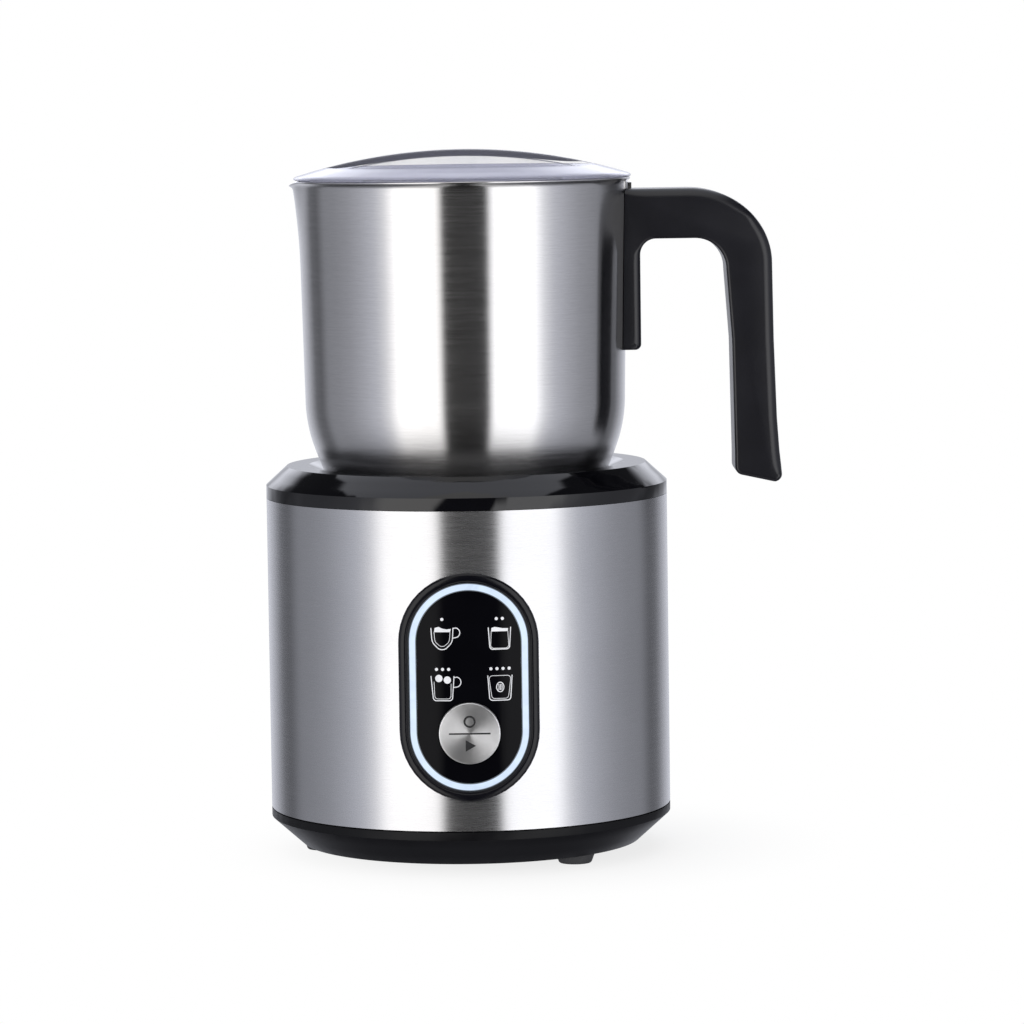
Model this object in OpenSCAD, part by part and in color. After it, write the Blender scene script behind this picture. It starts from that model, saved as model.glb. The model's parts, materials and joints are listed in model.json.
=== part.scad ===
// Milk frother: an induction base with a motor, a steel jug that lifts off it, a whisk and a lid.
// Every sub-part is drawn about the base's axis, with z = 0 on the table and the control panel facing -Y.

/* [Base] */
// Outer radius of the steel sleeve
base_r = 65; // [64.5:0.5:66]
// Height of the sleeve's lower edge
sleeve_z0 = 15; // [14.5:0.5:16]
// Height of the sleeve's upper edge
sleeve_z1 = 115.6; // [115.2:0.2:116]
// Thickness of the steel sleeve
sleeve_t = 1; // [0.8:0.1:1.2]
// Wall of the moulded casings
shell_t = 2.2; // [2:0.1:2.4]
// Height of the feet
foot_h = 3; // [2.5:0.5:4]
// Radius of one foot
foot_r = 6; // [5:0.5:6]
// Radius of the circle that the feet stand on
foot_circle = 48.5; // [46:0.5:48.5]
// Radius of the flat underside
underside_r = 55; // [55:0.5:57]
// Height at which the bottom cover reaches full width
cover_full_z = 12; // [11:0.5:12.5]

/* [Seat] */
// Height of the seat ring's flat top
seat_top = 125.8; // [125.4:0.2:126.2]
// Outer radius of the seat ring's flat top
seat_top_r = 58.3; // [57.5:0.1:59]
// Radius where the flat top turns down into the dish
dish_r = 51.4; // [51:0.1:52.5]
// Height of the seat ring's upright edge
seat_edge_h = 4; // [3.5:0.1:4.5]
// Height of the hob plate's upper face
hob_z = 114.1; // [113.8:0.1:114.1]

/* [Control panel] */
// Width of the raised bezel
bezel_w = 44; // [43:0.5:45]
// Height of the raised bezel
bezel_h = 71.8; // [70:0.2:73]
// Height of the panel's centre
panel_z = 60.5; // [59:0.5:62]
// Width of the bezel's raised rim
bezel_rim = 3.1; // [2.8:0.1:3.2]
// Width of the lit ring
light_w = 2.4; // [2:0.1:2.6]
// How far the bezel, the button and the cord gland stand out of the sleeve
trim_proud = 1.3; // [1.1:0.1:1.5]
// Diameter of the select button
button_d = 19.3; // [18:0.1:20]
// Height of the select button's centre
button_z = 46; // [45.5:0.5:46.5]
// Travel of the select button
button_travel = 0.8; // [0.5:0.1:0.8]

/* [Jug] */
// Thickness of the jug's steel
jug_t = 0.9; // [0.7:0.1:1]
// Outer radius at the top of the shoulder
jug_r_low = 51.8; // [51.6:0.1:52]
// Outer radius just under the rim
jug_r_high = 53.2; // [53:0.1:53.3]
// Height of the jug's rim
jug_top = 217.9; // [217.5:0.1:217.9]
// Reach of the spout's lip from the jug's axis
spout_reach = 55.1; // [54.8:0.1:56]

/* [Handle] */
// Width of the handle across the hand
handle_w = 22; // [20:1:24]
// Reach of the handle from the jug's axis
handle_reach = 102; // [101.5:0.5:104]
// Height of the arm's upper side
arm_top = 214; // [213.6:0.2:214.6]
// Thickness of the arm
arm_h = 16.1; // [15:0.1:17]
// Height of the lower edge of the handle's foot
foot_low = 162.2; // [158:0.2:166]
// Height of the free end of the grip
grip_low = 118.7; // [116:0.1:122]

/* [Lid] */
// Outer radius of the lid
lid_r = 54.6; // [54.2:0.1:55]
// Height of the top of the lid
lid_top = 227.4; // [227:0.2:229]
// Radius of the sphere that the lid's dome is part of
dome_r = 180; // [176:1:190]
// Wall of the lid
lid_t = 2; // [1.6:0.1:2.2]
// Radius of the round finger well at the dome
well_r = 40; // [38:0.5:41]
// Thickness of the grip bar across the well
grip_bar_w = 12; // [10:0.5:14]

/* [Whisk and drive] */
// Radius of the whisk's disc
whisk_r = 15.3; // [14:0.1:16]
// Radius of the spindle pin
pin_r = 1.5; // [1.2:0.1:1.8]
// Radius of the motor can
motor_r = 16.5; // [16:0.1:17]
// Radius of the motor shaft
shaft_r = 1.6; // [1.4:0.1:1.8]
// Side of the square cooling fan
fan_side = 60; // [56:1:62]

/* [Hidden] */

$fn = 96;
eps = 0.01;          // overlap that keeps cuts clean
hair_gap = 0.02;     // gap between faces that would otherwise be one face
fit_gap = 0.1;       // gap between pieces that are fixed to each other
free_gap = 0.35;     // gap between pieces that move past each other
run_gap = 0.05;      // radial clearance of a shaft in its bush
frame_x = -(handle_reach - base_r) / 2;

// levels in the base
floor_z = foot_h + shell_t;
cover_top = sleeve_z0 - 0.4;
lip_h = 4.9;
lip_r = base_r - sleeve_t - 0.3;
seat_z0 = sleeve_z1 + fit_gap;
seat_edge_z = seat_z0 + seat_edge_h;
well_wall_r = 46.6;
ledge_z = hob_z - 2;
platform_z = 93;
platform_t = 2.5;
platform_top = platform_z + platform_t;
former_z = 102;
coil_z = 104;
board_z = 24;
board_t = 1.6;
board_top = board_z + board_t;

// fixing points in the base: angle round the axis for three of each
post_circle = 48;
post_angles = [0, 120, 240];
boss_circle = 54;
boss_angles = [60, 180, 300];
standoff_circle = 42;
foot_angles = [180, 47, -47];
screw_r = 1.3;
motor_screw_circle = 11;
lead_x = 46;
lead_y = 8;

// control panel
panel_r = base_r + trim_proud - 0.1;
face_r = base_r + 0.3;
light_out_w = bezel_w - 2 * bezel_rim - 0.2;
face_w = light_out_w - 2 * light_w - 0.2;
bezel_span = bezel_h - bezel_w;
pcb_y = -54.5;
button_front = base_r + trim_proud;
pillar_x = 19.3;
pillar_z = 14;
pillar_bore_r = 1.1;
icon_x = [-8.2, 9.7];
icon_z = [15, -0.4];
dots_above = 6.3;

// cord gland at the back
gland_z = 31;
gland_bore_r = 3.6;
gland_neck_r = 6;

// motor and drive
can_z0 = 58;
can_z1 = 92.8;
carrier_r = 12.4;
magnet_r = 3.9;
magnet_h = 3;
magnet_circle = 7.8;
sensor_circle = 19.5;
sensor_r = 4;

// jug
jug_floor = 116;
cone_low = [43.9, 118];
cone_high = [48.6, 130.3];
shoulder_z = 147.5;
shoulder_r = 47.8;
rim_r = 54.3;

// handle
foot_x = 57;
grip_in_top = 84.6;
grip_in_low = 86.8;
bend_r = 24.4;
bend_reach = 26.5;
handle_screw_z = [foot_low + 13, foot_low + 27];
wall_top = jug_top - 3.9;

// lid
dome_z = lid_top - dome_r;
lid_low = jug_top + 0.3;
skirt_r = 50.2;
skirt_low = 211;
well_floor = 217.5;

// ---------- helpers ----------

// Points along an arc in a plane, from angle a0 to angle a1
function arc(centre, r, a0, a1, n = 8) =
    [for (i = [0 : n]) centre + r * [cos(a0 + (a1 - a0) * i / n), sin(a0 + (a1 - a0) * i / n)]];

// The closed wire of a helical spring: rings of points round a helix
function helix_points(r, wire_r, z0, z1, turns, steps, sides) =
    [for (i = [0 : turns * steps], k = [0 : sides - 1])
        let (turn = 360 * i / steps, side = 360 * k / sides, rr = r + wire_r * cos(side))
            [rr * cos(turn), rr * sin(turn), z0 + (z1 - z0) * i / (turns * steps) + wire_r * sin(side)]];

function helix_faces(rings, sides) = concat(
    [[for (k = [0 : sides - 1]) k]],
    [for (i = [0 : rings - 2], k = [0 : sides - 1])
        [i * sides + k, (i + 1) * sides + k, (i + 1) * sides + (k + 1) % sides, i * sides + (k + 1) % sides]],
    [[for (k = [sides - 1 : -1 : 0]) (rings - 1) * sides + k]]);

// Children placed at each of the four pillars that hold the control board to the bezel
module at_pillars() {
    for (x = [-pillar_x, pillar_x], z = [-pillar_z, pillar_z]) translate([x, 0, panel_z + z]) children();
}

// A ring between two radii and two heights
module ring(r_out, r_in, z0, z1) {
    translate([0, 0, z0]) difference() {
        cylinder(h = z1 - z0, r = r_out);
        translate([0, 0, -1]) cylinder(h = z1 - z0 + 2, r = r_in);
    }
}

// A plain cylinder between two heights
module rod(r, z0, z1) {
    translate([0, 0, z0]) cylinder(h = z1 - z0, r = r);
}

// Children placed at each angle on a circle round the axis
module around(angles, circle) {
    for (a = angles) rotate(a) translate([circle, 0, 0]) children();
}

// A cylinder along +Y, from y0 to y1
module rod_y(r, y0, y1) {
    translate([0, y0, 0]) rotate([-90, 0, 0]) cylinder(h = y1 - y0, r = r);
}

// A stadium outline, taller than it is wide
module stadium(w, span) {
    for (side = [-1, 1]) translate([0, side * span / 2]) circle(d = w);
    square([w, span], center = true);
}

// Everything in front of the axis that lies inside a flat outline drawn as seen from the front
module front_prism(z) {
    translate([0, 0, z]) rotate([90, 0, 0]) linear_extrude(height = base_r + 10) children();
}

// A curved plate that follows the sleeve: a flat outline cut out of a shell between two radii
module curved_plate(r_in, r_out, z) {
    intersection() {
        ring(r_out, r_in, z - 50, z + 50);
        front_prism(z) children();
    }
}

// A pan-head screw that points up, with its head's upper face at z = 0
module screw_up(shank_r, length, head_r, head_h) {
    rod(head_r, -head_h, 0);
    rod(shank_r, -eps, length);
}

// ---------- base casing ----------

module feet() color("#202022") {
    around(foot_angles, foot_circle) {
        rotate_extrude() polygon([[0, 0], [foot_r - 1, 0], [foot_r - 0.7, 0.3], [foot_r + 0.3, foot_h],
            [0, foot_h]]);
        rod(2.4, foot_h - eps, floor_z + 1);
    }
}

module bottom_cover() color("#1b1b1d") {
    taper = (base_r - underside_r) / (cover_full_z - foot_h);
    inner_r = lip_r - shell_t;
    inner_foot_r = underside_r - 1.2;
    difference() {
        union() {
            rotate_extrude() polygon([
                [0, foot_h], [underside_r, foot_h], [base_r, cover_full_z], [base_r, cover_top],
                [lip_r, cover_top], [lip_r, cover_top + lip_h], [inner_r, cover_top + lip_h],
                [inner_r, floor_z + (inner_r - inner_foot_r) / taper], [inner_foot_r, floor_z], [0, floor_z]]);
            around(post_angles, post_circle) rod(4.3, floor_z - eps, floor_z + 4.5);
            around(boss_angles, standoff_circle) rod(3, floor_z - eps, board_z);
        }
        around([for (i = [0 : 19]) 18 * i], 12) translate([0, -1.2, foot_h - 1]) cube([15, 2.4, shell_t + 2]);
        around(foot_angles, foot_circle) rod(2.4 + fit_gap, foot_h - 1, floor_z + 1);
        around(post_angles, post_circle) {
            rod(3.4, foot_h - 1, foot_h + 3);
            rod(screw_r + fit_gap, foot_h, floor_z + 6);
        }
        around(boss_angles, standoff_circle) rod(screw_r + fit_gap, board_z - 10, board_z + 1);
    }
}

module cover_screws() color("#c8c8cc")
    around(post_angles, post_circle) translate([0, 0, foot_h + 2.9]) screw_up(screw_r, 12, 3, 2.2);

module base_sleeve() color("#b9b9b7") {
    difference() {
        ring(base_r, base_r - sleeve_t, sleeve_z0, sleeve_z1);
        front_prism(panel_z) stadium(bezel_w - 3, bezel_span);
        translate([0, 0, gland_z]) rod_y(gland_neck_r + fit_gap, base_r - 5, base_r + 5);
    }
}

module seat_ring() color("#0c0c0e") {
    edge_slope = (base_r - seat_top_r) / (seat_top - seat_edge_z);
    inner_edge_r = lip_r - shell_t;
    inner_top = seat_top - shell_t;
    inner_top_r = seat_top_r - 0.9;
    well_out_r = well_wall_r + shell_t;
    difference() {
        union() {
            rotate_extrude() polygon([
                [lip_r, seat_z0 - lip_h], [lip_r, seat_z0], [base_r, seat_z0], [base_r, seat_edge_z],
                [seat_top_r, seat_top], [dish_r, seat_top], [well_wall_r + 0.8, seat_top - 1.7],
                [well_wall_r, seat_top - 2.5], [well_wall_r, ledge_z], [well_wall_r - 3.6, ledge_z],
                [well_wall_r - 3.6, ledge_z - 1.7], [well_out_r, ledge_z - 1.7],
                [well_out_r, seat_top - 4], [dish_r + 0.5, inner_top], [inner_top_r, inner_top],
                [inner_edge_r, inner_top - (inner_edge_r - inner_top_r) / edge_slope],
                [inner_edge_r, seat_z0 - lip_h]]);
            around(boss_angles, boss_circle) rod(3.1, platform_top, inner_top + 0.3);
        }
        around(boss_angles, boss_circle) rod(screw_r + fit_gap, platform_z, platform_z + 14);
    }
}

module seat_screws() color("#c8c8cc")
    around(boss_angles, boss_circle) translate([0, 0, platform_z]) screw_up(screw_r, 12, 2.8, 2);

// The flat plate that the jug stands on, with a hole for the temperature sensor
module hob_plate() color("#2a2a2d") {
    difference() {
        rod(well_wall_r - 0.3, ledge_z, hob_z);
        translate([0, sensor_circle, 0]) rod(sensor_r + free_gap, ledge_z - 1, hob_z + 1);
    }
}

module cord_gland() color("#1b1b1d") {
    back_y = base_r - 9;
    translate([0, 0, gland_z]) difference() {
        union() {
            difference() {
                rod_y(gland_neck_r + 2, base_r - 4, base_r + trim_proud);
                rod(base_r + hair_gap, -20, 20);
            }
            rod_y(gland_neck_r, back_y, base_r + trim_proud - eps);
            intersection() {
                rod_y(gland_neck_r + 1.2, back_y + 2, base_r);
                rod(base_r - sleeve_t - hair_gap, -20, 20);
            }
        }
        rod_y(gland_bore_r, back_y - 3, base_r + 5);
    }
}

// ---------- frame and heating ----------

// The moulded frame that stands on the bottom cover and carries the motor, the coil and the seat ring
module inner_frame() color("#8d8f94") {
    difference() {
        union() {
            rod(boss_circle + 5, platform_z, platform_top);
            ring(motor_r + 2.1, motor_r + 0.3, platform_z - 16, platform_z + eps);
            around(post_angles, post_circle) rod(4.5, floor_z + 4.6, platform_z + eps);
        }
        rod(6, platform_z - 1, platform_top + 1);
        around(post_angles, post_circle) rod(screw_r + fit_gap, floor_z, floor_z + 16);
        around(boss_angles, boss_circle) rod(screw_r + fit_gap, platform_z - 1, platform_top + 1);
        around([0, 180], motor_screw_circle) rod(screw_r + fit_gap, platform_z - 1, platform_top + 1);
        for (side = [-1, 1]) translate([side * lead_x, lead_y, 0]) rod(2.4, platform_z - 1, platform_top + 1);
    }
}

module coil_former() color("#d9d4c4") {
    difference() {
        union() {
            rod(43.5, former_z, coil_z);
            ring(45.4, 43.2, former_z, coil_z + 5.5);
            around([30, 150, 270], 36) rod(3, platform_top, former_z + eps);
            translate([0, sensor_circle, 0]) rod(sensor_r + 1.4, coil_z - eps, coil_z + 6.4);
        }
        rod(carrier_r + 1.4, former_z - 1, coil_z + 10);
        translate([0, sensor_circle, coil_z]) rod(sensor_r + free_gap, 0, 10);
    }
}

// The flat spiral of litz wire, drawn as rings of wire that touch
module induction_coil() color("#b5713a") {
    wire_r = 1.5;
    rotate_extrude() for (i = [0 : 5]) {
        translate([27.3 + i * 2.7, coil_z + wire_r]) circle(r = wire_r, $fn = 24);
    }
}

module ferrite_bars() color("#3a3a40")
    around([for (i = [0 : 5]) 60 * i], 17) translate([0, -4, former_z - 3.2]) cube([23, 8, 3.2]);

// ---------- motor, drive and fan ----------

module motor_can() color("#9ea0a4") {
    difference() {
        union() {
            rod(motor_r, can_z0, can_z1);
            rod(5, can_z1 - eps, platform_top);
        }
        rod(motor_r - 1, can_z0 - 1, can_z1 - 1.8);
        rod(3.3, can_z1 - 3, platform_z + 5);
        around([0, 180], motor_screw_circle) rod(screw_r - 0.1, can_z1 - 3, can_z1 + 1);
    }
}

module stator_magnets() color("#46464c") {
    difference() {
        ring(motor_r - 1.1, 11.6, can_z0 + 6, can_z1 - 7);
        for (side = [-1, 1]) translate([-3, side * 14 - 7, can_z0]) cube([6, 14, 40]);
    }
}

module motor_end_cap() color("#23252b") {
    difference() {
        union() {
            rod(motor_r, can_z0 - 3, can_z0 - eps);
            rod(5.5, can_z0 - 4.5, can_z0 + 1);
        }
        rod(3.3, can_z0 - 6, can_z0 + 2);
    }
}

module motor_bushes() color("#b08d57") {
    for (z0 = [can_z0 - 3.5, can_z1 - 1.8]) ring(3.2, shaft_r + run_gap, z0, z0 + 4);
}

module motor_screws() color("#c8c8cc")
    around([0, 180], motor_screw_circle) translate([0, 0, platform_top]) mirror([0, 0, 1])
        screw_up(screw_r - 0.2, 4, 2.4, 1.6);

module carbon_brushes() color("#2e2e30") {
    for (side = [-1, 1]) translate([side * 7.2 - 2.3, -1.5, can_z0 + 2]) cube([4.6, 3, 3]);
}

module motor_shaft() color("#d0d0d4") rod(shaft_r, can_z0 - 3.4, coil_z + 2.4);

module armature() color("#7d7f86") {
    translate([0, 0, can_z0 + 8]) linear_extrude(height = 18) difference() {
        circle(r = 10.8);
        circle(r = shaft_r + hair_gap, $fn = 48);
        for (i = [0 : 4]) rotate(72 * i) {
            translate([6.6, 0]) circle(r = 2.6, $fn = 32);
            translate([7, -0.8]) square([5, 1.6]);
        }
    }
}

module armature_windings() color("#b5713a")
    around([for (i = [0 : 4]) 72 * i], 6.6) rod(2.4, can_z0 + 6.8, can_z0 + 27.2);

module commutator() color("#b5713a") {
    difference() {
        ring(4.2, shaft_r + hair_gap, can_z0 + 1.4, can_z0 + 6);
        for (i = [0 : 4]) rotate(72 * i + 36) translate([3.4, -0.25, can_z0]) cube([2, 0.5, 8]);
    }
}

module magnet_carrier() color("#e2e0d8") {
    difference() {
        union() {
            rod(4.5, platform_top + 0.6, coil_z + 0.2);
            rod(carrier_r, coil_z + 0.1, coil_z + 6.4);
        }
        rod(shaft_r + hair_gap, platform_z, coil_z + 2.5);
        around([0, 90, 180, 270], magnet_circle) rod(magnet_r + fit_gap, coil_z + 3.2, coil_z + 8);
    }
}

module drive_magnets() color("#c4c6cc")
    around([0, 90, 180, 270], magnet_circle) rod(magnet_r, coil_z + 3.2, coil_z + 3.2 + magnet_h);

module fan_housing() color("#232325") {
    fan_z0 = floor_z + 1.2;
    fan_h = 12;
    difference() {
        translate([-fan_side / 2, -fan_side / 2, fan_z0]) cube([fan_side, fan_side, fan_h]);
        rod(28.2, fan_z0 - 1, fan_z0 + fan_h + 1);
        for (x = [-25, 25], y = [-25, 25]) translate([x, y, 0]) rod(1.7, fan_z0 - 1, fan_z0 + fan_h + 1);
    }
    difference() {
        union() {
            rod(11, fan_z0 + fan_h - 2, fan_z0 + fan_h);
            for (i = [0 : 3]) rotate(90 * i) translate([10, -1.5, fan_z0 + fan_h - 2]) cube([19, 3, 2]);
        }
        rod(1.5 + run_gap, fan_z0, fan_z0 + fan_h + 1);
    }
}

module fan_rotor() color("#2c2c2f") {
    rod(10.5, floor_z + 1.7, floor_z + 10.4);
    rod(1.5, floor_z + 10, floor_z + 13);
    intersection() {
        for (i = [0 : 6]) rotate(360 * i / 7) translate([18.5, 0, floor_z + 6]) rotate([38, 0, 0])
            cube([18, 11.5, 1.1], center = true);
        rod(27.4, floor_z + 1.8, floor_z + 10.2);
    }
}

// ---------- electronics ----------

module power_board() color("#2f6b45") {
    difference() {
        rod(50, board_z, board_top);
        around(post_angles, post_circle) rod(5.2, board_z - 1, board_top + 1);
        around(boss_angles, standoff_circle) rod(screw_r + fit_gap, board_z - 1, board_top + 1);
    }
}

module board_screws() color("#c8c8cc")
    around(boss_angles, standoff_circle) translate([0, 0, board_top]) mirror([0, 0, 1])
        screw_up(screw_r, 9, 2.8, 1.8);

module heat_sink() color("#a9acb1") translate([-31, 18, board_top]) {
    cube([34, 3, 24]);
    for (i = [0 : 6]) translate([i * 5.4, 2.9, 0]) cube([1.6, 14, 24]);
}

module power_transistors() color("#18181a") {
    for (x = [-29, -12]) {
        translate([x, 13, board_top + 4]) cube([13, 5, 18]);
        for (i = [0 : 2]) translate([x + 2.6 + i * 3.4, 15, board_top]) cube([1.2, 0.8, 4 + eps]);
    }
}

module filter_choke() color("#a8632f")
    translate([27, -17, board_top + 4.6]) rotate_extrude() translate([7.2, 0]) circle(r = 4.5, $fn = 32);

module capacitors() {
    color("#c8a23a") for (y = [-16, -28]) translate([-33, y, board_top]) cube([18, 9, 14]);
    color("#26344f") for (p = [[25, 6], [27, 22]]) translate([p[0], p[1], 0]) rod(6.3, board_top, board_top + 21);
}

module transformer() color("#4a4438") translate([-7, -39, board_top]) {
    cube([20, 5, 15]);
    translate([0, 12, 0]) cube([20, 5, 15]);
    translate([3, 4.9, 1]) cube([14, 7.2, 13]);
}

module terminal_block() color("#2f5c8a") translate([-5, 36, board_top]) {
    difference() {
        cube([19, 8, 10]);
        for (i = [0 : 2]) translate([3.7 + i * 5.8, 4, 5]) rod(1.9, 0, 6);
    }
}

module control_board() color("#2f6b45") {
    difference() {
        translate([-21.5, pcb_y, panel_z - 32]) cube([43, board_t, 64]);
        at_pillars() rod_y(pillar_bore_r, pcb_y - 1, pcb_y + board_t + 1);
    }
    translate([-6, pcb_y + board_t - eps, panel_z + 4]) cube([12, 1.6, 12]);
    translate([-8, pcb_y + board_t - eps, panel_z - 28]) cube([16, 6, 5]);
}

module control_screws() color("#c8c8cc") at_pillars() {
    rod_y(2.2, pcb_y + board_t, pcb_y + board_t + 1.4);
    rod_y(1, pcb_y - 2.3, pcb_y + board_t + eps);
}

module tact_switch() color("#3c3c40") {
    translate([-3, pcb_y - 3.5, button_z - 3]) cube([6, 3.5 - eps, 6]);
    translate([0, 0, button_z]) rod_y(1.7, pcb_y - 4.1, pcb_y - 3.4);
}

module indicator_leds() color("#e8edf5") {
    for (x = icon_x, z = icon_z) translate([x, 0, panel_z + z]) rod_y(1.5, pcb_y - 4, pcb_y - eps);
    for (x = [-16, 16], z = [-20, -6.5, 6.5, 20])
        translate([x - 1.5, pcb_y - 1.2, panel_z + z - 1.5]) cube([3, 1.2 - eps, 3]);
}

// Supply, motor and coil leads between the boards and what they feed
module inner_leads() color("#8a2f2a") {
    for (side = [-1, 1]) {
        translate([side * 8, 2, 0]) rod(0.9, board_top, can_z0 - 3);
        translate([side * lead_x, lead_y, 0]) rod(1.6, board_top, former_z - eps);
    }
}

// ---------- control panel ----------

module panel_bezel() color("#0e0e10") {
    inner_w = bezel_w - 2 * bezel_rim;
    difference() {
        union() {
            curved_plate(base_r + hair_gap, panel_r, panel_z) stadium(bezel_w, bezel_span);
            curved_plate(base_r - 5, panel_r - 0.4, panel_z) stadium(bezel_w - 3.3, bezel_span);
            at_pillars() rod_y(1.9, -59, pcb_y - 2);
        }
        front_prism(panel_z) stadium(inner_w, bezel_span);
        at_pillars() rod_y(pillar_bore_r, pcb_y - 2.4, pcb_y + 1);
    }
    at_pillars() difference() {
        rod_y(1.9, pcb_y - 2.3, pcb_y);
        rod_y(pillar_bore_r, pcb_y - 2.4, pcb_y + 1);
    }
}

module light_ring() color("#d7e4fa") {
    curved_plate(base_r - 5, face_r + 0.2, panel_z) difference() {
        stadium(light_out_w, bezel_span);
        stadium(light_out_w - 2 * light_w, bezel_span);
    }
}

module panel_face() color("#08080a") {
    curved_plate(base_r - 2.5, face_r, panel_z) difference() {
        stadium(face_w, bezel_span);
        translate([0, button_z - panel_z]) circle(d = button_d + 2 * free_gap);
    }
}

// A cup in side view, wider at the top, with a loop handle
module cup_icon() {
    difference() {
        polygon([[-3.6, 3], [3.6, 3], [3, -1.5], [1.4, -3.6], [-1.4, -3.6], [-3, -1.5]]);
        polygon([[-2.6, 2.1], [2.6, 2.1], [2.1, -1.1], [1, -2.7], [-1, -2.7], [-2.1, -1.1]]);
    }
    translate([4.4, 1]) difference() {
        circle(r = 1.9, $fn = 32);
        circle(r = 1.2, $fn = 32);
        translate([-4, -3]) square([3.2, 6]);
    }
}

// A tall glass in side view
module glass_icon(lines) {
    difference() {
        polygon([[-3.5, 3.8], [3.5, 3.8], [2.7, -3.8], [-2.7, -3.8]]);
        polygon([[-2.7, 3.1], [2.7, 3.1], [2, -3.1], [-2, -3.1]]);
    }
    for (i = [0 : lines - 1]) translate([-1.7, 1.5 - 1.7 * i]) square([3.4, 0.7]);
}

// A row of dots, one to four, that numbers a setting
module dots(count) {
    for (i = [0 : count - 1]) translate([(i - (count - 1) / 2) * 2, 0]) circle(r = 0.55, $fn = 24);
}

module panel_icons() color("#f2f4f8") {
    curved_plate(face_r + hair_gap, face_r + 0.14, panel_z)
        for (row = [0, 1]) {
            translate([icon_x[0], icon_z[row]]) cup_icon();
            translate([icon_x[1], icon_z[row]]) glass_icon(1 + 2 * row);
            for (side = [0, 1]) translate([icon_x[side], icon_z[row] + dots_above]) dots(1 + side + 2 * row);
        }
}

module button_cap() color("#c6c6c8") {
    translate([0, 0, button_z]) {
        rod_y(button_d / 2 - 0.5, -button_front, -button_front + 0.6);
        rod_y(button_d / 2, -button_front + 0.5, -button_front + 3);
    }
}

module button_body() color("#141416") {
    back_y = -(base_r - 4.9);
    translate([0, 0, button_z]) {
        rod_y(button_d / 2 - 0.7, -button_front + 3, back_y + eps);
        rod_y(button_d / 2 + 1.3, -(base_r - 3.9), back_y);
        rod_y(2, back_y - eps, pcb_y - 4.1 - button_travel - free_gap);
    }
}

// A divider line between a ring and a triangle
module button_marks() color("#1c1c1e") {
    translate([0, -button_front, button_z]) rotate([90, 0, 0]) linear_extrude(height = 0.08) {
        square([13, 0.5], center = true);
        translate([0, 3.8]) difference() {
            circle(r = 1.9, $fn = 32);
            circle(r = 1.3, $fn = 32);
        }
        translate([0, -3.8]) polygon([[-1.3, 1.8], [-1.3, -1.8], [1.9, 0]]);
    }
}

// ---------- temperature sensor ----------

module sensor_cap() color("#d0d0d4") {
    translate([0, sensor_circle, 0]) difference() {
        rod(sensor_r, coil_z + 3, hob_z);
        rod(sensor_r - 0.7, coil_z + 2, hob_z - 1.5);
    }
}

module sensor_spring() color("#d0d0d4") {
    turns = 5;
    steps = 16;
    sides = 6;
    wire_r = 0.3;
    translate([0, sensor_circle, 0]) polyhedron(
        points = helix_points(2.4, wire_r, coil_z + wire_r + 0.05, hob_z - 1.55 - wire_r, turns, steps, sides),
        faces = helix_faces(turns * steps + 1, sides));
}

// ---------- jug ----------

// Outer or inner outline of the jug's wall, from the floor up, moved inwards by t
function wall_points(t) = concat(
    [[0, jug_floor + t], [40.5 - t / 2, jug_floor + t], [42.6 - t * 0.7, jug_floor + 0.6 + t * 0.9],
        [cone_low[0] - t * 0.9, cone_low[1] + t * 0.6], [cone_high[0] - t, cone_high[1] + t * 0.3]],
    arc([jug_r_low - shoulder_r, shoulder_z], shoulder_r - t, -17, 0),
    [[jug_r_low - t + 0.8, shoulder_z + 39.5], [jug_r_high - t, wall_top]]);

module jug_vessel() color("#c3c2bf") {
    spout_z = 194;
    lip_drop = 1.6;
    difference() {
        union() {
            rotate_extrude() polygon(concat(wall_points(0),
                [[jug_r_high + 0.3, jug_top - 1.5], [rim_r, jug_top - 0.8], [rim_r, jug_top],
                    [rim_r - 1.1, jug_top], [0, jug_top]]));
            spout_form(0, jug_top, spout_z);
        }
        rotate_extrude() polygon(concat(wall_points(jug_t),
            [[jug_r_high - jug_t + 0.3, jug_top - 1.3], [rim_r - 1.1, jug_top + eps], [0, jug_top + eps]]));
        spout_form(jug_t, jug_top + 1, spout_z + 3);
        translate([-spout_reach - 5, -9, jug_top - lip_drop]) rotate([0, -6, 0]) cube([7, 18, 8]);
    }
}

// The wedge that the spout pushes out of the wall, moved inwards by t
module spout_form(t, z1, z0) {
    tip_r = 3;
    hull() {
        translate([-(spout_reach - tip_r), 0, z1 - 1]) cylinder(h = 1, r = tip_r - t, $fn = 32);
        for (side = [-1, 1]) rotate(side * 17) translate([-(jug_r_high - 2.6), 0, z1 - 1])
            cylinder(h = 1, r = 2.4 - t / 2, $fn = 24);
        translate([-(jug_r_low - 2.6), 0, z0]) cylinder(h = 1, r = 2.4 - t / 2, $fn = 24);
    }
}

module jug_base_disc() color("#9fa1a6") rod(38.5, jug_floor - 1.6, jug_floor);

module spindle_pin() color("#d0d0d4") {
    rod(3, jug_floor + jug_t, jug_floor + jug_t + 0.6);
    rotate_extrude() polygon([[0, jug_floor + jug_t + 0.5], [pin_r, jug_floor + jug_t + 0.5],
        [pin_r, jug_floor + 9.6], [pin_r - 0.5, jug_floor + 10.2], [0, jug_floor + 10.2]]);
}

// The jug's wall as a plain cone, grown by t, that what is fixed to it is cut to
module wall_cone(t) {
    translate([0, 0, shoulder_z]) cylinder(h = wall_top - shoulder_z, r1 = jug_r_low + t, r2 = jug_r_high + t);
    rod(jug_r_high + t + 0.3, wall_top - 0.1, jug_top);
}

// The steel strap that is welded to the jug and holds the handle
module handle_bracket() color("#c3c2bf") {
    difference() {
        translate([48, -6, foot_low + 8]) cube([6.5, 12, arm_top + 2 - foot_low - 8]);
        wall_cone(hair_gap);
        for (z = handle_screw_z) translate([50, 0, z]) rotate([0, 90, 0]) cylinder(h = 8, r = screw_r + fit_gap);
    }
}

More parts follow.
